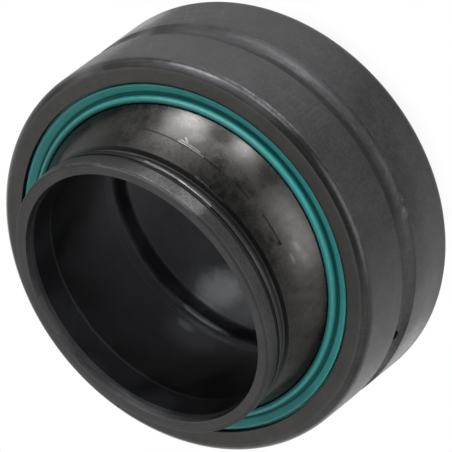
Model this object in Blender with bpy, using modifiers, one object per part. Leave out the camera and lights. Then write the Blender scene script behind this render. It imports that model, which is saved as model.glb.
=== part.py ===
"""Pivot bearing: a sealed spherical plain bearing whose inner ring is longer than its outer ring.

The inner ring is a ball, bored through, with a neck at each end. It stands on an end face, with its axis
along Z and the ball's centre at the origin. The outer ring is a hollow race round the ball, split along its
length at one place, and it holds a lipped seal in each side face. It is swivelled about X, until its lips
come up to the collars of the necks, which is as far as it goes. All sizes are in metres.
"""

import math

import bmesh
import bpy

# Inner ring. Each wall is measured outwards from the bore.
BORE_DIAMETER = 0.063
INNER_WIDTH = 0.063
BALL_WALL = 0.0100
BALL_EDGE_WALL = 0.0029
UNDERCUT_WALL = 0.0016
COLLAR_WALL = 0.0030
NECK_GROOVE_WALL = 0.0026
LAND_WALL = 0.0032

# The neck's bands, as shares of its length, counted from the ball's edge. The land takes what is left.
UNDERCUT_SHARE = 0.25
COLLAR_SHARE = 0.19
NECK_GROOVE_SHARE = 0.145
COLLAR_BEVEL = 0.00035
END_CHAMFER_HEIGHT = 0.0010
END_CHAMFER_LENGTH = 0.0002

# The bore's lead-in, its oil groove and the two oil holes out to the ball.
LEAD_IN_HEIGHT = 0.00035
LEAD_IN_LENGTH = 0.0013
BORE_GROOVE_WIDTH = 0.0046
BORE_GROOVE_DEPTH = 0.0014
INNER_OIL_HOLE_DIAMETER = 0.0030
INNER_OIL_HOLE_TURN = 0.0

# Outer ring
OUTER_WIDTH = 0.036
RUNNING_GAP = 0.0003
RING_WALL = 0.0057
RIM_HEIGHT = 0.0018
RIM_LENGTH = 0.0022
OUTER_GROOVE_WIDTH = 0.0062
OUTER_GROOVE_DEPTH = 0.0014
RACE_GROOVE_WIDTH = 0.0040
RACE_GROOVE_DEPTH = 0.0010
OUTER_OIL_HOLE_DIAMETER = 0.0036
OUTER_OIL_HOLE_TURN = 190.0
SPLIT_GAP = 0.00015
SPLIT_TURN = 98.0

# Seals, and the seats that hold them in the outer ring
SEAL_SPACE = 0.0048
SEAL_DEPTH = 0.0034
SEAT_GAP = 0.0003
SNAP_HEIGHT = 0.0008
SNAP_WIDTH = 0.0014
LIP_GAP = 0.0002
LIP_WIDTH = 0.0016
LIP_EDGE_RISE = 0.0001
LIP_CROWN_RISE = 0.0005
LIP_SHOULDER_DROP = 0.0003
SEAL_GROOVE_WIDTH = 0.0012
SEAL_GROOVE_DEPTH = 0.0015
BAND_BEVEL = 0.0002

# Gap that is left between a lip and the collar at the end of the swivel
STOP_GAP = 0.0003

# Fineness of the round forms
SEGMENTS = 64
BALL_STEPS = 14
RACE_STEPS = 4
RIM_STEPS = 3
GROOVE_STEPS = 4
HOLE_SIDES = 16

# Colours: both rings have a dark phosphate coat, and the outer one is a little browner.
INNER_STEEL_COLOR = (0.060, 0.057, 0.054, 1.0)
OUTER_STEEL_COLOR = (0.066, 0.063, 0.061, 1.0)
SEAL_COLOR = (0.010, 0.290, 0.270, 1.0)

BORE_RADIUS = BORE_DIAMETER / 2
BALL_RADIUS = BORE_RADIUS + BALL_WALL
RACE_RADIUS = BALL_RADIUS + RUNNING_GAP
OUTER_RADIUS = RACE_RADIUS + RING_WALL
INNER_END = INNER_WIDTH / 2
OUTER_END = OUTER_WIDTH / 2
SEAT_RADIUS = math.sqrt(BALL_RADIUS**2 - OUTER_END**2) + SEAL_SPACE
SEAT_FLOOR = OUTER_END - SEAL_DEPTH


def sphere_height(sphere, radius):
    """Height above the middle at which a sphere's surface has this distance from the axis."""
    return math.sqrt(sphere**2 - radius**2)


def sphere_arc(sphere, low, high, steps):
    """Points on a sphere's outline from one height to another, in equal turns about the ball's centre."""
    start, end = math.asin(low / sphere), math.asin(high / sphere)
    turns = [start + (end - start) * i / steps for i in range(steps + 1)]
    return [(sphere * math.cos(t), sphere * math.sin(t)) for t in turns]


def both_halves(half):
    """One side of a section from the top down, from its upper half, listed from the middle up."""
    return half[::-1] + [(r, -z) for r, z in half if z > 0]


def neck():
    """The neck's outline from the ball's edge to the end face: undercut, collar, narrow groove, land, chamfer."""
    edge = BORE_RADIUS + BALL_EDGE_WALL
    start = sphere_height(BALL_RADIUS, edge)
    length = INNER_END - start
    undercut_end = start + UNDERCUT_SHARE * length
    collar_end = undercut_end + COLLAR_SHARE * length
    groove_end = collar_end + NECK_GROOVE_SHARE * length
    floor = BORE_RADIUS + UNDERCUT_WALL
    collar = BORE_RADIUS + COLLAR_WALL
    groove = BORE_RADIUS + NECK_GROOVE_WALL
    land = BORE_RADIUS + LAND_WALL
    bevel = min(COLLAR_BEVEL, (collar_end - undercut_end) / 3)
    chamfer = min(END_CHAMFER_LENGTH, (INNER_END - groove_end) / 2)
    return [
        (floor, start + bevel / 2),
        (floor, undercut_end),
        (collar - bevel, undercut_end),
        (collar, undercut_end + bevel),
        (collar, collar_end - bevel),
        (groove, collar_end),
        (groove, groove_end),
        (land, groove_end),
        (land, INNER_END - chamfer),
        (land - END_CHAMFER_HEIGHT, INNER_END),
    ]


def collar_corner():
    """Middle of the bevel on the collar's edge towards the ball."""
    outline = neck()
    return [(a + b) / 2 for a, b in zip(outline[2], outline[3])]


def inner_ring_section():
    edge_height = sphere_height(BALL_RADIUS, BORE_RADIUS + BALL_EDGE_WALL)
    outside = sphere_arc(BALL_RADIUS, 0.0, edge_height, BALL_STEPS // 2) + neck()
    inside = [
        (BORE_RADIUS + BORE_GROOVE_DEPTH, BORE_GROOVE_WIDTH / 2),
        (BORE_RADIUS, BORE_GROOVE_WIDTH / 2),
        (BORE_RADIUS, INNER_END - LEAD_IN_LENGTH),
        (BORE_RADIUS + LEAD_IN_HEIGHT, INNER_END),
    ]
    return both_halves(outside) + both_halves(inside)[::-1]


def snap_heights():
    """Lower and upper height of the ring groove that the seal's bead snaps into."""
    middle = (SEAT_FLOOR + OUTER_END) / 2 - SNAP_WIDTH / 4
    return middle - SNAP_WIDTH / 2, middle + SNAP_WIDTH / 2


def outer_ring_section():
    groove_sag = OUTER_GROOVE_DEPTH
    groove_arc = ((OUTER_GROOVE_WIDTH / 2) ** 2 + groove_sag**2) / (2 * groove_sag)
    groove_turn = math.asin(OUTER_GROOVE_WIDTH / 2 / groove_arc)
    outside = []
    for i in range(GROOVE_STEPS // 2 + 1):
        t = groove_turn * i / (GROOVE_STEPS // 2)
        outside.append((OUTER_RADIUS - groove_sag + groove_arc * (1 - math.cos(t)), groove_arc * math.sin(t)))
    for i in range(RIM_STEPS + 1):
        t = math.pi / 2 * i / RIM_STEPS
        outside.append((
            OUTER_RADIUS - RIM_HEIGHT * (1 - math.cos(t)),
            OUTER_END - RIM_LENGTH * (1 - math.sin(t)),
        ))
    race_low = RACE_GROOVE_WIDTH / 2
    snap_low, snap_high = snap_heights()
    inside = [(sphere_height(RACE_RADIUS, race_low) + RACE_GROOVE_DEPTH, race_low)]
    inside += sphere_arc(RACE_RADIUS, race_low, SEAT_FLOOR, RACE_STEPS)
    inside += [
        (SEAT_RADIUS, SEAT_FLOOR),
        (SEAT_RADIUS, snap_low),
        (SEAT_RADIUS + SNAP_HEIGHT, snap_low),
        (SEAT_RADIUS + SNAP_HEIGHT, snap_high),
        (SEAT_RADIUS, snap_high),
        (SEAT_RADIUS, OUTER_END),
    ]
    return both_halves(outside) + both_halves(inside)[::-1]


def lip_edge():
    """The lip's inner edge, which follows the ball's surface."""
    height = OUTER_END + LIP_EDGE_RISE
    return math.sqrt((BALL_RADIUS + LIP_GAP) ** 2 - height**2), height


def lip_crown():
    """The highest point of the lip, halfway across it."""
    return lip_edge()[0] + LIP_WIDTH / 2, OUTER_END + LIP_CROWN_RISE


def seal_section():
    """The front seal: outer band, bead, foot, back along the ball, lip, groove between lip and band."""
    outer = SEAT_RADIUS - SEAT_GAP
    low = SEAT_FLOOR + SEAT_GAP
    top = OUTER_END
    snap_low, snap_high = snap_heights()
    bead_low, bead_high = snap_low + SEAT_GAP, snap_high - SEAT_GAP
    edge_radius, edge_height = lip_edge()
    lip_outer = edge_radius + LIP_WIDTH
    groove_outer = lip_outer + SEAL_GROOVE_WIDTH
    back = sphere_arc(RACE_RADIUS, low, top - SEAL_GROOVE_DEPTH / 2, 2)
    return [
        (outer - BAND_BEVEL, top),
        (outer, top - BAND_BEVEL),
        (outer, bead_high),
        (outer + SNAP_HEIGHT, bead_high),
        (outer + SNAP_HEIGHT, bead_low),
        (outer, bead_low),
        (outer, low),
        *back,
        (edge_radius, edge_height),
        lip_crown(),
        (lip_outer, top - LIP_SHOULDER_DROP),
        (lip_outer + SEAL_GROOVE_WIDTH / 4, top - SEAL_GROOVE_DEPTH),
        (groove_outer - SEAL_GROOVE_WIDTH / 4, top - SEAL_GROOVE_DEPTH),
        (groove_outer, top - BAND_BEVEL),
    ]


def polar(point):
    """Angle between the axis and the line from the ball's centre to a point of a section."""
    return math.atan2(point[0], point[1])


def rest_swivel():
    """Swivel at which the lip's crown comes up to the collar, less the gap left between them."""
    crown = lip_crown()
    return polar(crown) - polar(collar_corner()) - STOP_GAP / math.hypot(*crown)


def clear_scene():
    for obj in list(bpy.data.objects):
        bpy.data.objects.remove(obj, do_unlink=True)


def new_collection(name):
    collection = bpy.data.collections.new(name)
    bpy.context.scene.collection.children.link(collection)
    return collection


def new_material(name, color, metallic, roughness):
    material = bpy.data.materials.new(name)
    material.use_nodes = True
    shader = material.node_tree.nodes["Principled BSDF"]
    shader.inputs["Base Color"].default_value = color
    shader.inputs["Metallic"].default_value = metallic
    shader.inputs["Roughness"].default_value = roughness
    material.diffuse_color = color
    return material


def turned_mesh(name, section):
    """A closed section, turned once round Z. The section runs down its outer side and up its inner side."""
    outline = bpy.data.meshes.new(name + "_outline")
    corners = len(section)
    edges = [(i, (i + 1) % corners) for i in range(corners)]
    outline.from_pydata([(r, 0.0, z) for r, z in section], edges, [])
    guide = bpy.data.objects.new(name + "_outline", outline)
    bpy.context.scene.collection.objects.link(guide)
    screw = guide.modifiers.new("Turn", "SCREW")
    screw.axis = "Z"
    screw.steps = SEGMENTS
    screw.render_steps = SEGMENTS
    screw.use_merge_vertices = True
    screw.merge_threshold = 0.00001
    graph = bpy.context.evaluated_depsgraph_get()
    mesh = bpy.data.meshes.new_from_object(guide.evaluated_get(graph))
    mesh.name = name
    bpy.data.objects.remove(guide, do_unlink=True)
    mesh.shade_smooth()
    mesh.set_sharp_from_angle(angle=math.radians(20))
    return mesh


def new_object(name, mesh, collection, material=None, parent=None, turn=(0.0, 0.0, 0.0)):
    obj = bpy.data.objects.new(name, mesh)
    collection.objects.link(obj)
    obj.parent = parent
    obj.rotation_euler = turn
    if material:
        mesh.materials.clear()
        mesh.materials.append(material)
    return obj


def cut(target, cutter):
    """Takes a cutter's shape out of a piece. The cutter stays as a hidden helper."""
    cutter.hide_render = True
    cutter.display_type = "WIRE"
    boolean = target.modifiers.new(cutter.name, "BOOLEAN")
    boolean.operation = "DIFFERENCE"
    boolean.solver = "EXACT"
    boolean.object = cutter


def drill(target, collection, diameter, depths, turn_deg, parent=None):
    """Drills a radial hole through the wall between two distances from the axis."""
    start, end = depths
    mesh = bpy.data.meshes.new(target.name + "_drill")
    form = bmesh.new()
    bmesh.ops.create_cone(
        form,
        cap_ends=True,
        segments=HOLE_SIDES,
        radius1=diameter / 2,
        radius2=diameter / 2,
        depth=end - start,
    )
    bmesh.ops.translate(form, verts=form.verts, vec=(0.0, 0.0, (start + end) / 2))
    form.to_mesh(mesh)
    form.free()
    turn = (0.0, math.pi / 2, math.radians(turn_deg))
    cut(target, new_object(mesh.name, mesh, collection, parent=parent, turn=turn))


def split(target, collection, parent):
    """Cuts the outer ring through at one place, along its whole length."""
    start, end = SEAT_RADIUS - SEAL_SPACE, OUTER_RADIUS + RIM_HEIGHT
    mesh = bpy.data.meshes.new(target.name + "_split")
    form = bmesh.new()
    bmesh.ops.create_cube(form, size=1.0)
    bmesh.ops.scale(form, verts=form.verts, vec=(end - start, SPLIT_GAP, OUTER_WIDTH + 2 * RIM_LENGTH))
    bmesh.ops.translate(form, verts=form.verts, vec=((start + end) / 2, 0.0, 0.0))
    form.to_mesh(mesh)
    form.free()
    turn = (0.0, 0.0, math.radians(SPLIT_TURN))
    cut(target, new_object(mesh.name, mesh, collection, parent=parent, turn=turn))


def build_inner_ring(parts, cutters, steel):
    ring = new_object("inner_ring", turned_mesh("inner_ring", inner_ring_section()), parts, steel)
    depths = (BORE_RADIUS - BORE_GROOVE_DEPTH, BALL_RADIUS + BORE_GROOVE_DEPTH)
    for half_turn in (0.0, 180.0):
        drill(ring, cutters, INNER_OIL_HOLE_DIAMETER, depths, INNER_OIL_HOLE_TURN + half_turn)


def build_outer_ring(parts, cutters, steel, pivot):
    ring = new_object("outer_ring", turned_mesh("outer_ring", outer_ring_section()), parts, steel, pivot)
    depths = (RACE_RADIUS - RACE_GROOVE_DEPTH, OUTER_RADIUS + OUTER_GROOVE_DEPTH)
    for half_turn in (0.0, 180.0):
        drill(ring, cutters, OUTER_OIL_HOLE_DIAMETER, depths, OUTER_OIL_HOLE_TURN + half_turn, pivot)
    split(ring, cutters, pivot)


def build_seals(parts, rubber, pivot):
    """Both seals are the same moulding. The rear one is turned over."""
    mesh = turned_mesh("seal", seal_section())
    new_object("front_seal", mesh, parts, rubber, pivot)
    new_object("rear_seal", mesh, parts, rubber, pivot, turn=(math.pi, 0.0, 0.0))


def build():
    clear_scene()
    parts = new_collection("pivot_bearing")
    cutters = new_collection("cutters")
    inner_steel = new_material("inner_steel", INNER_STEEL_COLOR, 0.85, 0.38)
    outer_steel = new_material("outer_steel", OUTER_STEEL_COLOR, 0.85, 0.45)
    rubber = new_material("seal_rubber", SEAL_COLOR, 0.0, 0.45)
    pivot = new_object("ball_centre", None, parts, turn=(rest_swivel(), 0.0, 0.0))
    pivot.empty_display_size = BORE_RADIUS
    build_inner_ring(parts, cutters, inner_steel)
    build_outer_ring(parts, cutters, outer_steel, pivot)
    build_seals(parts, rubber, pivot)


build()
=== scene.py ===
"""The looks of a sealed spherical plain bearing with an extended inner ring, on its CAD frame.

Sizes are in millimetres and are turned to metres when a mesh is made. Both rings are worked out as sections
carried round an axis. The outer ring and its seals share an axis that is swivelled about X.
"""

import math

import bpy
import numpy as np
from mathutils import Matrix


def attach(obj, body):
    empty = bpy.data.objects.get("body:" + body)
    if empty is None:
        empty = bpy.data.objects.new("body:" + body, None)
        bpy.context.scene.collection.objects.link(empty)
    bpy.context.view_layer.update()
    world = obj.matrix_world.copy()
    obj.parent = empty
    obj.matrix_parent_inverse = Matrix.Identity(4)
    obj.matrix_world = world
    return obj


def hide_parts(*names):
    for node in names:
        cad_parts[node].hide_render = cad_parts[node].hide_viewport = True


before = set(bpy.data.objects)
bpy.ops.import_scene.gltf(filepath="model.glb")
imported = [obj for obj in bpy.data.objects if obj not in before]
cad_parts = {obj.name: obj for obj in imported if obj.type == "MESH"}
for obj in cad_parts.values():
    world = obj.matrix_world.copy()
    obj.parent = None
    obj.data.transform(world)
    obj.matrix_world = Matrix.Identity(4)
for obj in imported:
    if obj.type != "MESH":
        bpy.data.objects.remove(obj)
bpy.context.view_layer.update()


# The inner ring: one turned and ground piece of bearing steel, a ball bored right through, with a neck at
# each end. It is hardened, dipped in a phosphate bath that leaves a thin black coat, and oiled.

MM = 0.001
SEGMENTS = 384
ARC_STEP = math.radians(17)
EDGE_HOLD = 0.06
SHARP_ANGLE = math.radians(32)


def rounded(corners):
    """A closed outline from its corners (r, z, fillet). A corner with a fillet is cut back along both sides
    to where a circle of that radius touches them, and the circle's arc joins the two points. One more point
    lies just past each end of the arc, so that the flat stretches beside it are shaded flat."""
    points = []
    count = len(corners)
    for i in range(count):
        corner = np.array(corners[i][:2], float)
        fillet = corners[i][2]
        if not fillet:
            points.append(corner)
            continue
        back = np.array(corners[i - 1][:2], float) - corner
        ahead = np.array(corners[(i + 1) % count][:2], float) - corner
        back_length, ahead_length = np.linalg.norm(back), np.linalg.norm(ahead)
        back, ahead = back / back_length, ahead / ahead_length
        half = math.acos(np.clip(back @ ahead, -1, 1)) / 2
        cut = min(fillet / math.tan(half), 0.45 * back_length, 0.45 * ahead_length)
        fillet = cut * math.tan(half)
        middle = corner + (back + ahead) / np.linalg.norm(back + ahead) * fillet / math.sin(half)
        start, end = corner + back * cut - middle, corner + ahead * cut - middle
        sweep = math.pi - 2 * half
        steps = max(2, math.ceil(sweep / ARC_STEP))
        side = 1.0 if start[0] * end[1] - start[1] * end[0] > 0 else -1.0
        if back_length > 3 * cut + EDGE_HOLD:
            points.append(corner + back * (cut + EDGE_HOLD))
        for t in np.linspace(0, side * sweep, steps + 1):
            turn = np.array([[math.cos(t), -math.sin(t)], [math.sin(t), math.cos(t)]])
            points.append(middle + turn @ start)
        if ahead_length > 3 * cut + EDGE_HOLD:
            points.append(corner + ahead * (cut + EDGE_HOLD))
    return np.array(points)


def arc(radius, low, high, steps):
    """Corners on a circle about the middle, from one height to another, in equal turns."""
    turns = np.linspace(math.asin(low / radius), math.asin(high / radius), steps + 1)
    return [(radius * math.cos(t), radius * math.sin(t), 0) for t in turns]


def mirrored(half):
    """A whole side of a section from its upper half, whose first corner lies on or above the middle."""
    return half[::-1] + [(r, -z, fillet) for r, z, fillet in half if z > 0]


def turned(name, outline, cut_at=None, cut_width=0.0, swivel=0.0):
    """A closed outline carried round Z: the point at turn t is (r cos t, r sin t, z). With cut_at, the turn
    starts and ends a half cut's width to each side of that angle, which wanders as two sine waves along Z,
    and both ends are closed with the outline itself. The piece is then swivelled about X, in its mesh."""
    rows = SEGMENTS if cut_at is None else SEGMENTS + 1
    around = np.linspace(0, 1, SEGMENTS + 1)[:rows, None]
    r, z = outline[None, :, 0], outline[None, :, 1]
    if cut_at is None:
        angle = 2 * math.pi * around + 0 * r
    else:
        wander = 0.09 * np.sin(1.9 * z) + 0.05 * np.sin(5.3 * z + 1)
        crack = cut_at + wander / r
        half_cut = cut_width / 2 / r
        angle = crack + half_cut + (2 * math.pi - 2 * half_cut) * around
    x, y = r * np.cos(angle), r * np.sin(angle)
    z = z + 0 * angle
    c, s = math.cos(swivel), math.sin(swivel)
    points = np.stack([x, c * y - s * z, s * y + c * z], -1).reshape(-1, 3) * MM
    columns = len(outline)
    i = np.arange(SEGMENTS)[:, None]
    j = np.arange(columns)[None, :]
    i_next, j_next = (i + 1) % rows, (j + 1) % columns
    quads = np.stack(
        [i * columns + j, i_next * columns + j, i_next * columns + j_next, i * columns + j_next], -1
    ).reshape(-1, 4).tolist()
    if cut_at is not None:
        quads.append(list(range(columns))[::-1])
        quads.append(list(range(SEGMENTS * columns, rows * columns)))
    mesh = bpy.data.meshes.new(name)
    mesh.from_pydata(points, [], quads)
    if signed_volume(mesh) < 0:
        mesh.flip_normals()
    return mesh


def signed_volume(mesh):
    """Six times the volume of a closed mesh, below 0 where its faces point inwards: the sum over its
    triangles of the triple product of their corners."""
    mesh.calc_loop_triangles()
    corners = np.empty(3 * len(mesh.loop_triangles), np.int32)
    mesh.loop_triangles.foreach_get("vertices", corners)
    points = np.empty(3 * len(mesh.vertices), np.float32)
    mesh.vertices.foreach_get("co", points)
    return np.linalg.det(points.reshape(-1, 3)[corners.reshape(-1, 3)].astype(float)).sum()


def radial_hole(radius, depths, turn, swivel=0.0, sides=40):
    """A drill: a circle of that radius carried straight out from one distance from the axis to another."""
    t = np.linspace(0, 2 * math.pi, sides, endpoint=False)
    a, b = radius * np.cos(t), radius * np.sin(t)
    ends = []
    for depth in depths:
        x = depth * math.cos(turn) - a * math.sin(turn)
        y = depth * math.sin(turn) + a * math.cos(turn)
        c, s = math.cos(swivel), math.sin(swivel)
        ends.append(np.stack([x, c * y - s * b, s * y + c * b], -1))
    points = np.concatenate(ends) * MM
    i = np.arange(sides)
    j = (i + 1) % sides
    walls = np.stack([i, j, j + sides, i + sides], -1).tolist()
    mesh = bpy.data.meshes.new("drill")
    mesh.from_pydata(points, [], walls + [i[::-1].tolist(), (i + sides).tolist()])
    if signed_volume(mesh) < 0:
        mesh.flip_normals()
    return mesh


def placed(name, mesh, drills=()):
    """The piece as an object at the origin, with its holes drilled into its mesh and its edges kept sharp."""
    piece = bpy.data.objects.new(name, mesh)
    bpy.context.scene.collection.objects.link(piece)
    helpers = []
    for drill in drills:
        helper = bpy.data.objects.new("drill", drill)
        bpy.context.scene.collection.objects.link(helper)
        hole = piece.modifiers.new("hole", "BOOLEAN")
        hole.operation = "DIFFERENCE"
        hole.solver = "EXACT"
        hole.object = helper
        helpers.append(helper)
    if helpers:
        graph = bpy.context.evaluated_depsgraph_get()
        drilled = bpy.data.meshes.new_from_object(piece.evaluated_get(graph))
        piece.modifiers.clear()
        piece.data = drilled
        for helper in helpers:
            bpy.data.objects.remove(helper)
    piece.data.shade_smooth()
    piece.data.set_sharp_from_angle(angle=SHARP_ANGLE)
    return piece


class Socket:
    """A shader socket that takes Python's operators, with numbers or sockets on either side."""

    def __init__(self, tree, output):
        self.tree = tree
        self.output = output

    def make(self, kind, settings, inputs, output=0):
        """Any node: its type, its settings, and the values or links of its sockets by name or number."""
        node = self.tree.nodes.new(kind)
        for name, value in settings.items():
            setattr(node, name, value)
        for name, value in inputs.items():
            if isinstance(value, Socket):
                self.tree.links.new(value.output, node.inputs[name])
            else:
                node.inputs[name].default_value = value
        return Socket(self.tree, node.outputs[output])

    def math(self, operation, *others, clamp=False):
        numbers = dict(enumerate((self, *others)))
        return self.make("ShaderNodeMath", {"operation": operation, "use_clamp": clamp}, numbers)

    def __add__(self, other):
        return self.math("ADD", other)

    def __sub__(self, other):
        return self.math("SUBTRACT", other)

    def __rsub__(self, other):
        return self.math("MULTIPLY_ADD", -1.0, other)

    def __mul__(self, other):
        return self.math("MULTIPLY", other)

    def __truediv__(self, other):
        return self.math("DIVIDE", other)

    __radd__ = __add__
    __rmul__ = __mul__

    def ramp(self, low, high, start=0.0, end=1.0):
        """Runs from start to end, in a soft step, while the value runs from low to high."""
        values = {0: self, 1: low, 2: high, 3: start, 4: end}
        return self.make("ShaderNodeMapRange", {"interpolation_type": "SMOOTHSTEP"}, values)

    def between(self, low, high, soft):
        """1 between two values and 0 outside them."""
        return self.ramp(low - soft, low + soft) * self.ramp(high - soft, high + soft, 1.0, 0.0)

    def blend(self, first, second):
        """The first colour where the value is 0 and the second where it is 1."""
        inputs = {0: self}
        for place, colour in ((6, first), (7, second)):
            inputs[place] = colour if isinstance(colour, Socket) else (*colour, 1.0)
        return self.make("ShaderNodeMix", {"data_type": "RGBA", "clamp_factor": True}, inputs, 2)

    def shaded(self, colour):
        """A colour made lighter or darker by the value."""
        inputs = {0: colour, "Scale": self}
        return self.make("ShaderNodeVectorMath", {"operation": "SCALE"}, inputs)


class Surface:
    """A new material with what its pattern reads: x, y and z in millimetres along the piece's own axis, the
    distance r from that axis, and the turn round it in radians, which is 0 towards -Y."""

    def __init__(self, name, swivel=0.0):
        self.material = bpy.data.materials.new(name)
        self.material.use_nodes = True
        tree = self.material.node_tree
        self.shader = tree.nodes["Principled BSDF"]
        self.tree = tree
        self.base = Socket(tree, None)
        place = self.base.make("ShaderNodeTexCoord", {}, {}, "Object")
        turned_back = {"Vector": place, "Rotation": (-swivel, 0.0, 0.0), "Scale": (1 / MM,) * 3}
        self.point = self.base.make("ShaderNodeMapping", {}, turned_back)
        split = {"Vector": self.point}
        self.x, self.y, self.z = (
            self.base.make("ShaderNodeSeparateXYZ", {}, split, axis) for axis in ("X", "Y", "Z")
        )
        self.r = (self.x * self.x + self.y * self.y).math("SQRT")
        self.turn = self.x.math("ARCTAN2", self.y * -1.0)
        self.height = self.z.math("ABSOLUTE")
        self.degrees = self.turn * math.degrees(1.0)
        self.fray = self.grain(0.6, 4.0, 0.65, 11.0)

    def grain(self, scale, detail=2.0, roughness=0.55, offset=0.0):
        """Even noise from 0 to 1, with about so many grains to the millimetre."""
        inputs = {"Vector": self.point, "W": offset, "Scale": scale, "Detail": detail, "Roughness": roughness}
        return self.base.make("ShaderNodeTexNoise", {"noise_dimensions": "4D"}, inputs)

    def turning(self, along, across, detail=2.0):
        """Noise drawn out round the axis, as a tool leaves it: few changes round it and many across it."""
        ring = {0: self.x / self.r * along, 1: self.y / self.r * along, 2: self.r * across}
        vector = self.base.make("ShaderNodeCombineXYZ", {}, ring)
        inputs = {"Vector": vector, "W": self.z * across, "Scale": 1.0, "Detail": detail, "Roughness": 0.6}
        return self.base.make("ShaderNodeTexNoise", {"noise_dimensions": "4D"}, inputs)

    def stroke(self, start, end, width, radius):
        """1 on a straight scratch between two places (turn in degrees, z), falling to 0 at its width: the
        distance to the nearest point of the line between them, where turns are lengths on that radius."""
        u0, u1 = (math.radians(place[0]) * radius for place in (start, end))
        v0, v1 = start[1], end[1]
        du, dv = u1 - u0, v1 - v0
        length_squared = du * du + dv * dv
        u, v = self.turn * radius - u0, self.z - v0
        share = (u * (du / length_squared) + v * (dv / length_squared)).math("ADD", 0.0, clamp=True)
        apart_u, apart_v = u - share * du, v - share * dv
        return (apart_u * apart_u + apart_v * apart_v).math("SQRT").ramp(width * 0.3, width, 1.0, 0.0)

    def patch(self, turn, place, half_turn, half_place, ragged):
        """1 in a soft oval about a place (turn in degrees, z), 0 outside it. Its edge is frayed by noise."""
        across = (self.turn - math.radians(turn)).math("WRAP", math.pi, -math.pi) / math.radians(half_turn)
        along = (self.z - place) / half_place
        out = (across * across + along * along).math("SQRT") + (self.fray - 0.5) * ragged
        return out.ramp(0.25, 1.0, 1.0, 0.0)

    def added(self, marks, ragged):
        """The sum of patches. A mark is a patch's middle, its half width both ways, and its gain."""
        total = 0.0
        for (turn, place), (half_turn, half_place), gain in marks:
            total = total + self.patch(turn, place, half_turn, half_place, ragged) * gain
        return total

    def left_by(self, marks, ragged):
        """What is left of 1 after patches that darken. A mark is as above, with its loss for its gain."""
        left = 1.0
        for (turn, place), (half_turn, half_place), loss in marks:
            left = left * (1 - self.patch(turn, place, half_turn, half_place, ragged) * loss)
        return left

    def line_round(self, place, width, wander):
        """1 on a line round the axis at one height, 0 at its width to either side. Noise makes it wander."""
        off = self.z - place + (self.fray - 0.5) * wander
        return off.math("ABSOLUTE").ramp(width * 0.3, width, 1.0, 0.0)

    def finish(self, colour, roughness, metallic, height, height_scale):
        """Links colour, roughness and relief to the shader. Relief is in millimetres times its scale."""
        links = self.tree.links
        links.new(colour.output, self.shader.inputs["Base Color"])
        links.new(roughness.output, self.shader.inputs["Roughness"])
        self.shader.inputs["Metallic"].default_value = metallic
        relief = {"Strength": 1.0, "Distance": height_scale * MM, "Height": height}
        bumped = self.base.make("ShaderNodeBump", {}, relief)
        links.new(bumped.output, self.shader.inputs["Normal"])
        return self.material


INNER_END = 31.5
BALL_RADIUS = 41.5
BALL_EDGE = (34.4, 23.214)
UNDERCUT = (33.1, 23.55, 25.286)
COLLAR_FOOT = 34.05
COLLAR = (34.5, 25.80, 26.860)
NECK_GROOVE = (34.1, 26.860, 28.061)
LAND = (34.7, 28.061, 31.3)
FACE_EDGE = 33.7
MOUTH = ((31.85, 31.5, 0.15), (31.5, 30.2, 0.4))
BORE_GROOVE = ((31.5, 2.3, 0.2), (32.9, 2.3, 0.3), (32.9, -2.1, 3.5), (31.5, -4.5, 3.5))
INNER_HOLE = 1.5
INNER_HOLE_REACH = (31.0, 42.5)

outside = arc(BALL_RADIUS, 0, BALL_EDGE[1], 22)[:-1] + [
    (*BALL_EDGE, 0.12),
    (UNDERCUT[0], UNDERCUT[1], 0.45),
    (UNDERCUT[0], UNDERCUT[2], 0.4),
    (COLLAR_FOOT, UNDERCUT[2], 0.15),
    (COLLAR[0], COLLAR[1], 0.5),
    (COLLAR[0], COLLAR[2], 0.2),
    (NECK_GROOVE[0], NECK_GROOVE[1], 0.1),
    (NECK_GROOVE[0], NECK_GROOVE[2], 0.1),
    (LAND[0], LAND[1], 0.12),
    (LAND[0], LAND[2], 0.12),
    (FACE_EDGE, INNER_END, 0.3),
]
bore_side = [*MOUTH, *BORE_GROOVE, *((r, -z, fillet) for r, z, fillet in MOUTH[::-1])]
inner_section = rounded(mirrored(outside) + bore_side[::-1])
inner_holes = [radial_hole(INNER_HOLE, INNER_HOLE_REACH, turn) for turn in (0.0, math.pi)]
inner_ring = placed("inner_ring_turned", turned("inner_ring_turned", inner_section), inner_holes)

steel = Surface("phosphated_inner_steel")
on_ball = steel.height.ramp(23.1, 23.3, 1.0, 0.0) * steel.r.ramp(33.8, 34.2)
in_bore = steel.r.ramp(31.7, 31.9, 1.0, 0.0) * steel.height.ramp(30.1, 30.35, 1.0, 0.0)
in_bore_groove = steel.r.ramp(33.2, 33.4, 1.0, 0.0) * steel.height.ramp(5.2, 5.4, 1.0, 0.0)
in_bore = in_bore.math("MAXIMUM", in_bore_groove)
clouds = steel.grain(0.12, 3.0, 0.6).ramp(0.35, 0.68)
mottle = steel.grain(0.45, 3.0, 0.6, 7.0).ramp(0.24, 0.76)
fine = steel.grain(3.2, 2.0, 0.6, 3.0)
speckle = steel.grain(1.6, 3.0, 0.7, 33.0).ramp(0.3, 0.7)
lines = steel.turning(2.5, 2.6, 3.0)

BALL_STEEL = (0.048, 0.0465, 0.045)
NECK_STEEL = (0.060, 0.060, 0.060)
BORE_STEEL = (0.045, 0.046, 0.050)

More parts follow.
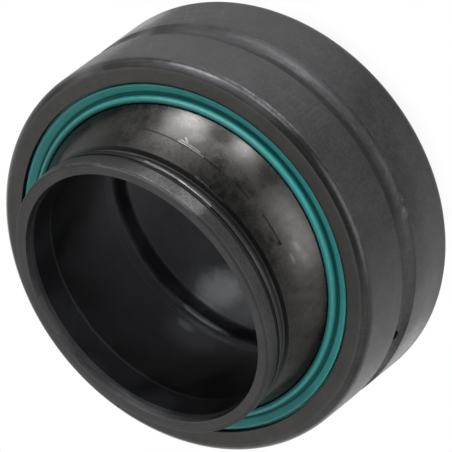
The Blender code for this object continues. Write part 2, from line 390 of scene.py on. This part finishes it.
# A mark is its middle (turn in degrees, z), its half width both ways, and what it adds or takes away. A
# scratch or streak is its two ends (turn in degrees, z), then its width and what it adds, where they vary.
# Lighter patches on the ball: partly run-in wear, partly painted highlights where the panels reflect.
RUN_IN_AND_HIGHLIGHTS = (
    ((22.5, 13.6), (10.0, 3.0), 0.40),
    ((23.5, 12.7), (5.5, 1.5), 0.35),
    ((17.0, 16.6), (5.0, 2.0), 0.22),
    ((2.5, 12.4), (6.5, 2.4), 0.45),
    ((3.0, 12.0), (3.5, 1.2), 0.35),
    ((-35.0, 17.2), (8.0, 1.8), 0.35),
    ((-29.0, 15.0), (17.0, 3.4), 0.42),
    ((-52.0, 17.5), (20.0, 5.0), 0.28),
    ((-16.0, 18.5), (22.0, 5.0), 0.18),
    ((-36.0, 18.8), (3.0, 0.5), 0.7),
    ((-33.0, 17.0), (2.0, 0.6), 0.5),
)
# Darker patches on the ball: partly smudges, partly painted shade, most of it towards the seal lip.
SMUDGES_AND_SHADE = (
    ((11.5, 13.3), (6.5, 2.6), 0.55),
    ((-8.5, 13.2), (5.5, 2.0), 0.35),
    ((-26.5, 20.6), (1.5, 0.5), 0.5),
    ((-28.8, 19.8), (1.3, 0.6), 0.6),
    ((38.0, 16.5), (2.5, 1.2), 0.35),
    ((36.0, 17.0), (9.0, 3.5), 0.3),
    ((47.0, 22.0), (9.0, 3.0), 0.3),
    ((55.0, 16.0), (11.0, 5.0), 0.32),
    ((70.0, 18.5), (14.0, 6.0), 0.28),
    ((-80.0, 17.0), (25.0, 9.0), 0.45),
)
SCRATCHES = (
    ((-29.5, 19.6), (-17.5, 19.3)),
    ((3.0, 19.35), (37.0, 18.9)),
    ((-10.0, 19.45), (-4.0, 19.2)),
    ((9.8, 23.1), (-4.0, 23.2)),
)
BRIGHT_SCRATCHES = (
    ((11.0, 19.15), (22.0, 18.85), 0.14),
    ((13.0, 18.75), (21.5, 18.4), 0.12),
    ((19.0, 18.2), (20.5, 17.6), 0.16),
    ((9.0, 23.0), (3.0, 23.15), 0.14),
)
SCRATCH_WIDTH = 0.26
SCRATCHED_RADIUS = 38.5

ball_light = clouds * 0.18 + mottle * 0.24 + fine * 0.1 + speckle * 0.2 + 0.40
# Painted highlights, partly run-in wear, lighten the ball; smudges and painted shade darken it.
ball_light = ball_light + steel.added(RUN_IN_AND_HIGHLIGHTS, 0.7) * (mottle * 0.6 + 0.7)
ball_light = ball_light * steel.left_by(SMUDGES_AND_SHADE, 1.4)
for start, end in SCRATCHES:
    ball_light = ball_light * (1 - steel.stroke(start, end, SCRATCH_WIDTH, SCRATCHED_RADIUS) * 0.65)
for start, end, width in BRIGHT_SCRATCHES:
    ball_light = ball_light + steel.stroke(start, end, width, SCRATCHED_RADIUS) * (fine * 3.0 + 0.8)
ball_tone = ball_light.shaded(BALL_STEEL)

# Painted highlight streaks: light lines on the collar's ridge, at the ball's edge and at the face's corner.
NECK_HIGHLIGHT_STREAKS = (
    ((-3.0, 26.78), (12.0, 26.62), 0.32, 3.4),
    ((9.0, 26.52), (28.0, 26.28), 0.30, 2.6),
    ((-2.0, 26.30), (7.0, 26.20), 0.16, 1.0),
    ((14.0, 26.75), (28.0, 26.80), 0.16, 0.6),
    ((-42.0, 26.35), (-22.0, 26.40), 0.24, 0.3),
    ((-4.0, 23.25), (10.0, 23.15), 0.14, 1.8),
    ((42.0, 31.30), (60.0, 31.33), 0.10, 0.8),
    ((63.0, 31.32), (78.0, 31.30), 0.09, 0.6),
)
TOOL_PITCH = 0.42
TOOL_SLANT = 30.0
CROSS_MARKS = 396.0
CROSS_SLANT = 3.0

# A painted highlight on the shelf beside the ball, over one stretch of the turn.
shelf_highlight = steel.height.between(23.20, 23.42, 0.05) * steel.degrees.between(-5.0, 25.0, 4.0)
shaded_undercut_edge = steel.height.between(23.58, 24.35, 0.12)
shaded_undercut_floor = steel.height.between(24.1, 25.2, 0.2)
on_ridge = steel.height.ramp(25.3, 25.6) * steel.height.ramp(26.8, 26.95, 1.0, 0.0)
shaded_neck_groove = steel.height.ramp(26.8, 26.95) * steel.height.ramp(28.0, 28.2, 1.0, 0.0)
on_land = steel.height.ramp(28.0, 28.2) * steel.height.ramp(31.3, 31.4, 1.0, 0.0)
bevel = steel.height.ramp(31.3, 31.4) * steel.r.ramp(33.75, 34.0)
threads = steel.turning(1.0, 9.0, 1.0)
hatch = (steel.z * (2 * math.pi / TOOL_PITCH) + steel.turn * TOOL_SLANT + lines).math("SINE")
cross = (steel.turn * CROSS_MARKS + steel.z * CROSS_SLANT + lines).math("SINE")
weave = hatch * 0.42 + cross * 0.28 + (speckle - 0.5) * 1.3
# This stretch of the land carries a painted highlight in its colour and burnished threads in its relief.
burnished_and_lit = steel.degrees.between(-2.5, 25.0, 2.5)
land_highlight = burnished_and_lit * 0.7 + steel.patch(3.0, 29.8, 9.0, 5.0, 1.3)
lit_bevel = steel.degrees.between(-1.0, 45.0, 4.0)
shaded_right = steel.degrees.between(31.0, 70.0, 5.0)
shaded_middle = steel.degrees.between(-24.0, -3.0, 4.0)
shaded_left = steel.degrees.between(-120.0, -66.0, 8.0)
neck_light = clouds * 0.14 + lines * 0.46 + fine * 0.2 + speckle * 0.16 + 0.56
neck_light = neck_light + on_land * land_highlight * (1.0 + weave * 0.6) + on_land * weave * 0.14
# A painted highlight line near the land's outer end.
neck_light = neck_light + steel.line_round(31.1, 0.22, 0.2) * 0.22
for start, end, width, gain in NECK_HIGHLIGHT_STREAKS:
    streak = steel.stroke(start, end, width, COLLAR[0]) * gain
    neck_light = neck_light + streak * (fine.ramp(0.35, 0.6) + 0.4)
# A painted highlight on the edge of the bore's mouth.
mouth_highlight = steel.r.ramp(31.95, 32.1, 1.0, 0.0) * steel.degrees.math("ABSOLUTE").ramp(100.0, 120.0)
mouth_highlight = mouth_highlight * steel.height.ramp(30.1, 30.35)
in_shade = steel.degrees.between(-38.0, 33.0, 6.0)
# Painted shade in the undercut beside the ball, deeper over some stretches of the turn.
neck_light = neck_light * (1 - shaded_undercut_edge * (0.3 + in_shade * 0.45))
neck_light = neck_light * (1 + shelf_highlight * fine.ramp(0.4, 0.7) * 0.9)
neck_light = neck_light * (1 - shaded_undercut_floor * in_shade * 0.3)
neck_light = neck_light * (1 - shaded_undercut_floor * shaded_middle * 0.3)
neck_light = neck_light * (1 + mouth_highlight * 0.4)
neck_light = neck_light * (1 - shaded_middle * (on_ridge * 0.3 + on_land * 0.18))
# Painted shade in the neck's narrow groove.
neck_light = neck_light * (1 - shaded_neck_groove * 0.62)
neck_light = neck_light * (1 - shaded_right * (on_ridge * 0.62 + on_land * 0.35))
neck_light = neck_light * (1 - shaded_left * on_land * 0.45)
neck_light = neck_light * (1 + bevel * (lit_bevel * 1.2 - 0.25))
neck_tone = neck_light.shaded(NECK_STEEL)

# Painted highlights and reflections in the bore: at its mouth, in its groove, and above and below it.
# Each mark comes after how frayed its edge is.
BORE_HIGHLIGHTS = (
    (1.00, ((-168.0, 30.4), (9.0, 1.5), 5.0)),
    (0.35, ((-173.0, -11.0), (12.0, 10.0), 3.2)),
    (0.50, ((-165.0, -10.0), (26.0, 9.0), 1.6)),
    (0.90, ((-171.0, 3.6), (6.0, 1.6), 1.6)),
    (0.60, ((-166.0, 5.0), (18.0, 7.0), 0.7)),
    (0.60, ((-169.0, -1.9), (15.0, 0.8), 6.0)),
    (0.60, ((-165.0, 0.3), (20.0, 1.1), 1.2)),
)
# Painted light in the bore: lighter lead-in, a light line and zone further in, lower flank and a patch.
lead_in_highlight = steel.height.ramp(28.7, 29.0) * 3.6 + steel.height.ramp(29.6, 30.4) * 1.5
front_highlight_line = steel.line_round(22.8, 0.5, 0.8) * 1.8
lit_front_zone = steel.height.ramp(23.0, 23.6) * steel.height.ramp(28.5, 28.8, 1.0, 0.0) * 0.5
lit_groove_flank = steel.z.between(-5.0, -2.4, 0.9)
lit_flank_top = steel.z.between(-2.4, -1.3, 0.5)
lit_near_end = steel.patch(-152.0, 27.0, 12.0, 5.0, 0.6)
bore_light = clouds * 0.25 + fine * 0.2 + lines * 0.12 + 0.55 + lead_in_highlight + front_highlight_line + lit_front_zone
for ragged, mark in BORE_HIGHLIGHTS:
    bore_light = bore_light + steel.added([mark], ragged)
bore_light = bore_light * (1 + lit_groove_flank * 2.8) * (1 + lit_flank_top * 2.2) * (1 + lit_near_end * 1.4)
bore_tone = bore_light.shaded(BORE_STEEL)
tone = in_bore.blend(on_ball.blend(neck_tone, ball_tone), bore_tone)
ball_gloss = 0.18 + clouds * 0.06 + mottle * 0.08 + speckle * 0.06
neck_gloss = 0.30 + lines * 0.16 + fine * 0.1
bore_gloss = 0.28 + clouds * 0.1
gloss = on_ball * ball_gloss + (1 - on_ball) * (in_bore * bore_gloss + (1 - in_bore) * neck_gloss)
relief = (lines * 0.5 + threads * burnished_and_lit * 0.8) * (1 - on_ball) + mottle * 0.3 * on_ball + fine * 0.45
inner_ring.data.materials.append(steel.finish(tone, gloss, 0.9, relief, height_scale=0.006))
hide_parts("inner_ring")
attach(inner_ring, "inner_ring")


# The outer ring: bearing steel, turned, hardened, phosphated and ground on the outside. Its race was ground
# as one ring and then cracked open along one line, so that it springs over the ball.

SWIVEL = math.radians(10.41988711)
OUTER_RADIUS = 47.5
OUTER_END = 18.0
RACE_RADIUS = 41.8
OIL_GROOVE = (46.1, 3.1)
RIM = ((47.5, 15.9, 2.2), (46.87, 17.16, 2.4), (45.85, 18.0, 0.8))
SEAT = (42.193, 14.6)
SNAP = (42.993, 15.25, 16.65)
RACE_GROOVE = (42.752, 2.0)
CRACK_WIDTH = 0.16
CRACK_TURN = math.radians(98)
OIL_HOLE_TURN = math.radians(190)
OIL_HOLE = 1.8
OIL_HOLE_REACH = (41.0, 49.0)

sag = OUTER_RADIUS - OIL_GROOVE[0]
groove_radius = (OIL_GROOVE[1] ** 2 + sag**2) / (2 * sag)
groove_turns = np.linspace(0, math.asin(OIL_GROOVE[1] / groove_radius), 9)
outside = [
    (OIL_GROOVE[0] + groove_radius * (1 - math.cos(t)), groove_radius * math.sin(t), 0) for t in groove_turns
]
outside[-1] = (*outside[-1][:2], 0.15)
outside += RIM
race_end = math.sqrt(RACE_RADIUS**2 - SEAT[1] ** 2)
inside = [(RACE_GROOVE[0], 0, 0), (RACE_GROOVE[0], RACE_GROOVE[1], 0.2)]
inside += arc(RACE_RADIUS, RACE_GROOVE[1], SEAT[1], 10)[:-1]
inside += [
    (race_end, SEAT[1], 0.15),
    (SEAT[0], SEAT[1], 0.1),
    (SEAT[0], SNAP[1], 0.08),
    (SNAP[0], SNAP[1], 0.08),
    (SNAP[0], SNAP[2], 0.08),
    (SEAT[0], SNAP[2], 0.08),
    (SEAT[0], OUTER_END, 0.14),
]
outer_section = rounded(mirrored(outside) + mirrored(inside)[::-1])
outer_holes = [
    radial_hole(OIL_HOLE, OIL_HOLE_REACH, OIL_HOLE_TURN + turn, SWIVEL) for turn in (0.0, math.pi)
]
outer_mesh = turned("outer_ring_turned", outer_section, CRACK_TURN, CRACK_WIDTH, SWIVEL)
outer_ring = placed("outer_ring_turned", outer_mesh, outer_holes)

CHATTER_MARKS = 240.0

steel = Surface("phosphated_outer_steel", SWIVEL)
on_face = steel.height.ramp(17.9, 17.97)
in_groove = steel.height.ramp(2.9, 3.3, 1.0, 0.0) * steel.r.ramp(45.0, 45.5)
on_rim = steel.height.ramp(15.8, 16.1) * (1 - on_face) * steel.r.ramp(45.0, 45.4)
on_chamfer = steel.height.ramp(17.0, 17.3) * (1 - on_face) * steel.r.ramp(45.0, 45.4)
clouds = steel.grain(0.06, 3.0, 0.55).ramp(0.3, 0.7)
mottle = steel.grain(0.35, 4.0, 0.65, 7.0).ramp(0.3, 0.75)
scale = steel.grain(0.9, 4.0, 0.7, 21.0).ramp(0.42, 0.62)
fine = steel.grain(3.5, 2.0, 0.6, 3.0)
speckle = steel.grain(1.7, 3.0, 0.7, 33.0).ramp(0.3, 0.7)
lines = steel.turning(3.0, 1.8, 3.0)
chatter = (steel.turn * CHATTER_MARKS + mottle * 2.0).math("SINE")

GROUND_STEEL = (0.056, 0.056, 0.058)
FACED_STEEL = (0.080, 0.078, 0.076)
# Painted light on the outside: lighter where it faces the panels and at its grazing left end, one patch
# darker.
PAINTED_OUTSIDE_LIGHT = (
    ((24.0, 0.0), (40.0, 60.0), 0.62),
    ((8.0, 0.0), (24.0, 60.0), 0.22),
    ((28.0, -12.0), (40.0, 12.0), 0.20),
    ((-48.0, -12.5), (46.0, 8.0), 0.42),
    ((-90.0, -10.0), (15.0, 10.0), 2.0),
    ((-70.0, -9.0), (10.0, 9.0), 0.3),
    ((-56.0, 0.0), (17.0, 60.0), 0.24),
    ((-64.0, -11.0), (34.0, 12.0), 0.25),
    ((66.0, 0.0), (13.0, 50.0), 2.5),
    ((67.0, -10.0), (12.0, 8.0), 3.4),
    ((-80.0, 6.0), (13.0, 16.0), -0.25),
)
SCALED = (
    ((-86.0, -9.0), (14.0, 10.0), 1.1),
    ((-86.0, 10.0), (10.0, 9.0), 0.7),
    ((-10.0, 0.0), (60.0, 30.0), 0.12),
    ((60.0, 9.0), (15.0, 9.0), 0.5),
    ((50.0, -9.0), (12.0, 8.0), 0.35),
    ((66.0, -9.0), (12.0, 9.0), 1.4),
)
PALE_STROKES = (
    ((43.3, -3.7), (45.0, -6.7), 0.35),
    ((46.6, -5.2), (51.1, -12.5), 0.35),
    ((53.6, -7.3), (55.5, -12.5), 0.35),
    ((37.2, -7.5), (39.6, -13.6), 0.22),
    ((44.0, 13.5), (46.5, 9.0), 0.3),
    ((51.0, 12.0), (54.0, 6.0), 0.3),
    ((7.5, 9.3), (-2.0, 7.6), 0.2),
    ((-18.0, -3.6), (-17.2, -8.0), 0.2),
)
PALE_WIDTH = 0.4

outside_light = clouds * 0.16 + mottle * 0.24 + lines * 0.2 + fine * 0.24 + speckle * 0.34 + 0.48
outside_light = outside_light + chatter * steel.patch(-2.0, 8.5, 10.0, 6.5, 0.5) * 0.1
outside_light = outside_light + steel.added(PAINTED_OUTSIDE_LIGHT, 0.5)
outside_light = outside_light + steel.added(SCALED, 0.8) * (scale - 0.4)
for start, end, gain in PALE_STROKES:
    stroke = steel.stroke(start, end, PALE_WIDTH, OUTER_RADIUS)
    outside_light = outside_light + stroke * fine * gain * 2.0

# Lighter marks in the oil groove: partly worn scale, partly a painted highlight along its far wall.
GROOVE_WEAR_AND_HIGHLIGHTS = (
    ((8.0, -1.7), (9.0, 1.1), 0.4),
    ((6.5, -1.1), (4.0, 0.7), 0.9),
    ((20.0, -0.1), (6.0, 0.6), 0.5),
    ((14.0, -1.0), (6.0, 0.5), 0.5),
    ((-4.0, -0.8), (9.0, 0.5), 0.35),
    ((20.0, -2.4), (8.0, 0.9), 0.25),
    ((-42.0, -2.6), (2.5, 0.7), 0.8),
    ((-38.0, -2.8), (1.6, 0.4), 1.4),
    ((-28.0, -2.5), (6.0, 0.9), 0.35),
    ((-14.0, -1.2), (3.0, 0.5), 0.5),
    ((-18.0, -3.3), (3.0, 0.4), 0.5),
)
GROOVE_SHADE = (
    ((27.0, -2.3), (20.0, 1.7), 0.38),
    ((35.0, -2.4), (8.0, 1.3), 0.3),
    ((48.0, -2.4), (12.0, 1.6), 0.3),
    ((64.0, -2.7), (8.0, 1.0), 0.6),
)
outside_light = outside_light + steel.added(GROOVE_WEAR_AND_HIGHLIGHTS, 1.1) * (scale * 1.3 + 0.35)
outside_light = outside_light * steel.left_by(GROOVE_SHADE, 0.8)
# Painted shade and light in the oil groove towards the camera: darker in its middle, lighter near its edge.
facing = steel.degrees.between(-40.0, 22.0, 8.0)
groove_wall_shading = steel.z.between(-0.5, 1.2, 0.35) * 0.3 - steel.z.between(1.5, 2.9, 0.3) * 0.25
outside_light = outside_light * (1 - in_groove * facing * groove_wall_shading)
# A painted highlight line where the rim meets the outside, strongest over one stretch, partly worn.
rim_highlight_and_rub = steel.line_round(16.0, 0.6, 0.9) * (steel.patch(6.0, 15.9, 17.0, 5.0, 0.8) * 1.9 + 0.1)
outside_light = outside_light + rim_highlight_and_rub * (scale * 0.9 + 0.4)
# Painted shade on the rim's flat, deeper on top and at the left end; chamfer_light paints its rounding.
on_flat = steel.height.between(16.1, 17.25, 0.2)
shaded_top_side = steel.degrees.between(-18.0, 44.0, 5.0)
shaded_left_end = steel.degrees.between(66.0, 95.0, 5.0)
outside_light = outside_light * (1 - on_flat * (0.3 + shaded_top_side * (0.15 + mottle * 0.3)))
outside_light = outside_light * (1 - on_flat * shaded_left_end * 0.3)
chamfer_light = steel.patch(4.0, OUTER_END, 9.0, 9.0, 0.6) * 0.6 - shaded_left_end * 0.3 - 0.1
chamfer_light = chamfer_light - steel.degrees.between(28.0, 80.0, 6.0) * 0.3
outside_light = outside_light * (1 + on_chamfer * chamfer_light)
ground = outside_light.shaded(GROUND_STEEL)

# A painted sheen on the end face, lighter over the stretches that catch the light.
PAINTED_FACE_SHEEN = (
    ((-14.0, OUTER_END), (42.0, 9.0), 0.24),
    ((8.0, OUTER_END), (9.0, 9.0), 0.20),
    ((32.0, OUTER_END), (30.0, 9.0), 0.14),
)
# A painted highlight line round the face's outer corner.
HIGHLIT_CORNER = 45.5
corner_highlight = (steel.r - HIGHLIT_CORNER).math("ABSOLUTE").ramp(0.1, 0.35, 1.0, 0.0)
face_light = clouds * 0.1 + mottle * 0.14 + lines * 0.16 + fine * 0.16 + speckle * 0.14 + 0.65
face_light = face_light + steel.added(PAINTED_FACE_SHEEN, 0.5) + corner_highlight * 0.16
faced = face_light.shaded(FACED_STEEL)
tone = on_face.blend(ground, faced)
plain_gloss = on_face * (0.46 + fine * 0.08) + (1 - on_face) * (0.34 + lines * 0.12 + fine * 0.12)
gloss = plain_gloss * (1 - on_rim) + (0.26 + fine * 0.1) * on_rim
gloss = gloss + in_groove * scale * 0.14
relief = lines * 0.3 + fine * 0.6 + mottle * 0.4 + in_groove * scale * 0.7
outer_ring.data.materials.append(steel.finish(tone, gloss, 0.9, relief, height_scale=0.005))
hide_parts("outer_ring")
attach(outer_ring, "outer_ring")


# The seals: two like rings moulded in teal elastomer. A bead snaps each into its seat in the outer ring, and
# a lip on a thin web runs on the ball.

BAND = (39.52, 41.62)
BAND_FOOT = 16.76
BAND_TOP = 17.55
BAND_LINE = 41.3
FOOT = 14.9
WEB_END = 17.25
BEAD = (42.693, 15.55, 16.35)
LIP_EDGE = (37.5, 18.18)
LIP_CROWN = 18.43
SEAL_GROOVE = ((39.18, 16.66, 0.2), (39.4, 16.66, 0.12))

back = arc(RACE_RADIUS, FOOT, WEB_END, 6)
seal_corners = [
    (BAND_LINE + 0.1, BAND_TOP, 0.05),
    (BAND[1], BAND_TOP, 0.18),
    (BAND[1], BEAD[2], 0.05),
    (BEAD[0], BEAD[2], 0.2),
    (BEAD[0], BEAD[1], 0.2),
    (BAND[1], BEAD[1], 0.05),
    (BAND[1], FOOT, 0.3),
    (back[0][0], back[0][1], 0.2),
    *back[1:],
    (LIP_EDGE[0], LIP_EDGE[1] - 0.12, 0.05),
    (LIP_EDGE[0] + 0.03, LIP_EDGE[1], 0.08),
    (LIP_EDGE[0] + 0.5, LIP_CROWN, 0.35),
    (LIP_EDGE[0] + 1.18, LIP_CROWN - 0.05, 0.42),
    *SEAL_GROOVE,
    (BAND[0], BAND_FOOT, 0.3),
    (BAND_LINE - 0.1, BAND_TOP, 0.05),
    (BAND_LINE, BAND_TOP - 0.04, 0.03),
]
seal_section = rounded(seal_corners)

LIP_TEAL = (0.034, 0.285, 0.274)
GREYED_LIP = (0.110, 0.270, 0.265)
# The channel's darker teal is painted shade in the hollow between the lip and the band.
SHADED_CHANNEL_TEAL = (0.000, 0.105, 0.100)
BAND_TEAL = (0.042, 0.262, 0.250)
GREYED_BAND = (0.100, 0.160, 0.155)

moulding = Surface("teal_elastomer", SWIVEL)
clouds = moulding.grain(0.2, 3.0, 0.6).ramp(0.3, 0.7)
fine = moulding.grain(2.5, 3.0, 0.6, 5.0)
flow = moulding.turning(1.2, 3.0, 2.0)
on_band = moulding.r.ramp(39.5, 40.1)
in_channel = moulding.height.ramp(16.85, 18.1, 1.0, 0.0)
streaks = moulding.turning(6.0, 5.0, 2.0).ramp(0.4, 0.66)
# Over one stretch near the top, the lip turns paler and greyer and the band darker and greyer.
greyed_patch = moulding.patch(16.0, OUTER_END, 34.0, 12.0, 0.7) * moulding.height.ramp(17.4, 17.9)
# Painted shade on the lip's left side and painted light on the band's right side.
shaded_left_side = moulding.degrees.between(35.0, 120.0, 15.0)
lit_right_side = moulding.patch(-78.0, OUTER_END, 26.0, 12.0, 0.7)
lip_light = flow * 0.24 + fine * 0.16 + 0.88 - shaded_left_side * 0.26
lip_tone = (greyed_patch * (streaks * 0.5 + 0.15)).blend(lip_light.shaded(LIP_TEAL), GREYED_LIP)
band_light = flow * 0.2 + clouds * 0.16 + fine * 0.14 + 1.16 - greyed_patch * 0.4 + lit_right_side * 0.4
band_tone = (greyed_patch * 0.55).blend(band_light.shaded(BAND_TEAL), GREYED_BAND)
tone = on_band.blend(in_channel.blend(lip_tone, SHADED_CHANNEL_TEAL), band_tone)
gloss = 0.36 + fine * 0.08 + clouds * 0.08
relief = fine * 0.4 + flow * 0.2
elastomer = moulding.finish(tone, gloss, 0.0, relief, height_scale=0.01)
for node, turn in (("front_seal", 0.0), ("rear_seal", math.pi)):
    name = node + "_moulded"
    seal = placed(name, turned(name, seal_section, swivel=SWIVEL + turn))
    seal.data.materials.append(elastomer)
    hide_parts(node)
    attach(seal, "seals")


# The studio: a plain white table that the bearing stands on, in a pale room that is dark where the camera
# stands. Soft panels low down in the room give the steel its highlights: four towards +X and one towards -X.

RIGHT = (-0.73899, -0.32790, -0.588529)
UP = (0.65403, -0.55872, -0.509960)
BACK = (-0.16160, -0.76177, 0.627355)
CENTRE_IN_VIEW = (-0.2747, -0.0178, -1781.42)
FOCAL_PIXELS = 8000
PICTURE_PIXELS = 452
SENSOR = 36.0

scene = bpy.context.scene
scene.view_settings.view_transform = "Standard"

view_axes = np.stack([RIGHT, UP, BACK], 1)
camera_data = bpy.data.cameras.new("camera")
camera_data.lens = FOCAL_PIXELS / PICTURE_PIXELS * SENSOR
camera_data.sensor_width = SENSOR
camera_data.clip_start, camera_data.clip_end = 0.1, 20.0
camera = bpy.data.objects.new("camera", camera_data)
scene.collection.objects.link(camera)
place = np.eye(4)
place[:3, :3] = view_axes
place[:3, 3] = view_axes @ -np.array(CENTRE_IN_VIEW) * MM
camera.matrix_world = Matrix(place.tolist())
scene.camera = camera


def seen_directly(base):
    """1 for rays that show the background itself: from the camera, off gloss or through glass."""
    rays = ("Is Camera Ray", "Is Glossy Ray", "Is Transmission Ray")
    camera_ray, glossy_ray, transmission_ray = (base.make("ShaderNodeLightPath", {}, {}, ray) for ray in rays)
    return camera_ray.math("MAXIMUM", glossy_ray).math("MAXIMUM", transmission_ray)


TABLE_RADIUS = 300.0
TABLE_SIDES = 120
TABLE_GREY = (0.85, 0.85, 0.85, 1.0)
SHADOW_REACH = 70.0
WHITE = (1.0, 1.0, 1.0, 1.0)
WINDOW_SIDE = (-0.42, 0.91, 0.0)

around = np.linspace(0, 2 * math.pi, TABLE_SIDES, endpoint=False)
edge = np.stack([np.cos(around) * TABLE_RADIUS, np.sin(around) * TABLE_RADIUS, 0 * around - INNER_END], -1)
table_mesh = bpy.data.meshes.new("table")
table_mesh.from_pydata(edge * MM, [], [list(range(TABLE_SIDES))])
table = bpy.data.objects.new("table", table_mesh)
scene.collection.objects.link(table)
paper = bpy.data.materials.new("white_table")
paper.use_nodes = True
tree = paper.node_tree
tree.nodes.clear()
base = Socket(tree, None)
# The table glows white. Ambient occlusion dims it near the bearing, a painted shadow.
near = base.make("ShaderNodeAmbientOcclusion", {"samples": 8}, {"Distance": SHADOW_REACH * MM}, "AO")
matte = base.make("ShaderNodeBsdfDiffuse", {}, {"Color": TABLE_GREY})
spot = base.make("ShaderNodeTexCoord", {}, {}, "Object")
outward = base.make("ShaderNodeVectorMath", {"operation": "NORMALIZE"}, {0: spot})
beside_window = {0: outward, 1: WINDOW_SIDE}
window = base.make("ShaderNodeVectorMath", {"operation": "DOT_PRODUCT"}, beside_window, "Value")
straight = base.make("ShaderNodeLightPath", {}, {}, "Is Camera Ray")
shown = near.ramp(0.0, 0.3, 0.88, 1.0)
# In the steel's reflections the table is painted lighter towards the window side.
mirrored_in_steel = near.ramp(0.0, 0.45, 0.3, 1.0) * (0.7 + window.ramp(0.0, 1.0) * 0.7)
glow = straight * shown + (1 - straight) * mirrored_in_steel
white = base.make("ShaderNodeEmission", {}, {"Color": WHITE, "Strength": glow})
mixed = base.make("ShaderNodeMixShader", {}, {0: seen_directly(base), 1: matte, 2: white})
out = tree.nodes.new("ShaderNodeOutputMaterial")
tree.links.new(mixed.output, out.inputs["Surface"])
table_mesh.materials.append(paper)

world = bpy.data.worlds.new("room")
scene.world = world
world.use_nodes = True
tree = world.node_tree
base = Socket(tree, None)
direction = base.make("ShaderNodeTexCoord", {}, {}, "Generated")
toward = base.make("ShaderNodeVectorMath", {"operation": "DOT_PRODUCT"}, {0: direction, 1: BACK}, "Value")
split = {"Vector": direction}
side, depth, rise = (base.make("ShaderNodeSeparateXYZ", {}, split, axis) for axis in ("X", "Y", "Z"))
bearing = side.math("ARCTAN2", depth * -1.0) * math.degrees(1.0)
height = rise.math("ARCSINE") * math.degrees(1.0)

# A panel is its bearing (from, to, softness), its height over the horizon likewise, both in degrees, and
# its power. The bearing is 0 towards -Y and 90 towards +X.
PANELS = (
    ((40.0, 62.0, 5.0), (-40.0, 5.0, 5.0), 14.0),
    ((6.0, 22.0, 4.0), (-40.0, 2.0, 5.0), 14.0),
    ((24.0, 38.0, 5.0), (-40.0, 2.0, 5.0), 5.0),
    ((30.0, 70.0, 10.0), (-40.0, 25.0, 8.0), 1.5),
    ((-65.0, -15.0, 8.0), (-40.0, 14.0, 8.0), 3.2),
)
room = toward.ramp(0.35, 0.85, 0.9, 0.15)
for across, up, power in PANELS:
    room = room + bearing.between(*across) * height.between(*up) * power
straight = base.make("ShaderNodeLightPath", {}, {}, "Is Camera Ray")
strength = straight + (1 - straight) * room
tree.links.new(strength.output, tree.nodes["Background"].inputs["Strength"])
tree.nodes["Background"].inputs["Color"].default_value = WHITE
